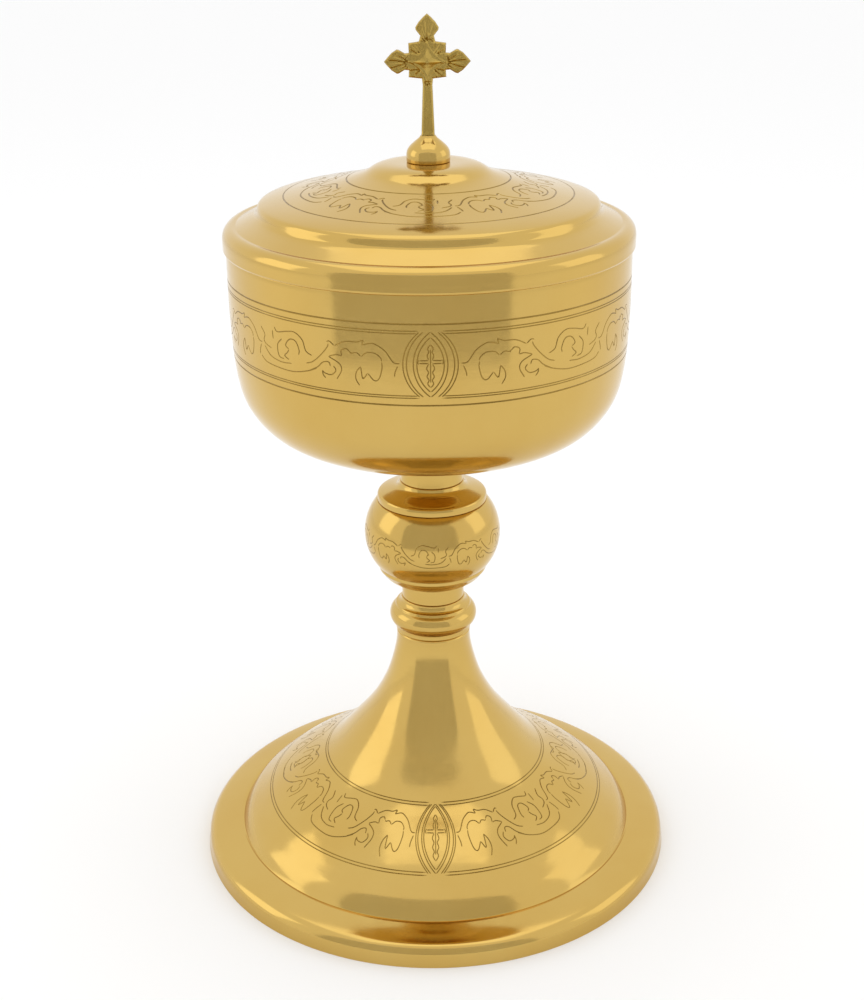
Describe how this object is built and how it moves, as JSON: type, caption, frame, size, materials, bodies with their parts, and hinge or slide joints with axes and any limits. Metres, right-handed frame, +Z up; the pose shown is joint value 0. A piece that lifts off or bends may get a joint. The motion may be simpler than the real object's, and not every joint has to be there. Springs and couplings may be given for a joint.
{
  "type": "lidded ciborium",
  "caption": "Gold-plated footed bowl with a domed lift-off lid, cast cross finial, knopped stem and bell foot, engraved with scroll bands.",
  "frame": {"origin": "centre of the foot's resting plane, on the axis of the stem", "axes": "+Z up along the stem, -Y towards the front face of the cross and the front medallions, +X to the right of someone facing the front"},
  "size_m": [0.1436, 0.1436, 0.25],
  "materials": {
    "polished_gold": "gold plated and mirror polished, engraved",
    "cast_gold": "gold plated casting, satin",
    "plain_brass": "turned brass, unpolished"
  },
  "bodies": {
    "vessel": {"cup_shell": "polished_gold", "cup_boss": "plain_brass", "upper_neck": "polished_gold", "knop_upper_cap": "polished_gold", "knop_barrel": "polished_gold", "knop_lower_cap": "polished_gold", "knop_sleeve": "plain_brass", "lower_neck": "polished_gold", "stem_ring": "polished_gold", "tie_rod": "plain_brass", "base_shell": "polished_gold", "foot_ring": "plain_brass", "base_washer": "plain_brass", "lock_washer": "plain_brass", "tie_rod_nut": "plain_brass"},
    "lid": {"lid_shell": "polished_gold", "lid_bezel": "polished_gold", "finial_collar": "polished_gold", "cross_finial": "cast_gold", "finial_stud": "plain_brass", "lid_washer": "plain_brass", "lid_nut": "plain_brass"}
  },
  "joints": [
    {"name": "lid_lift", "type": "slide", "parent": "vessel", "child": "lid", "axis": [0, 0, 1], "range_m": [0, 0.1]}
  ]
}
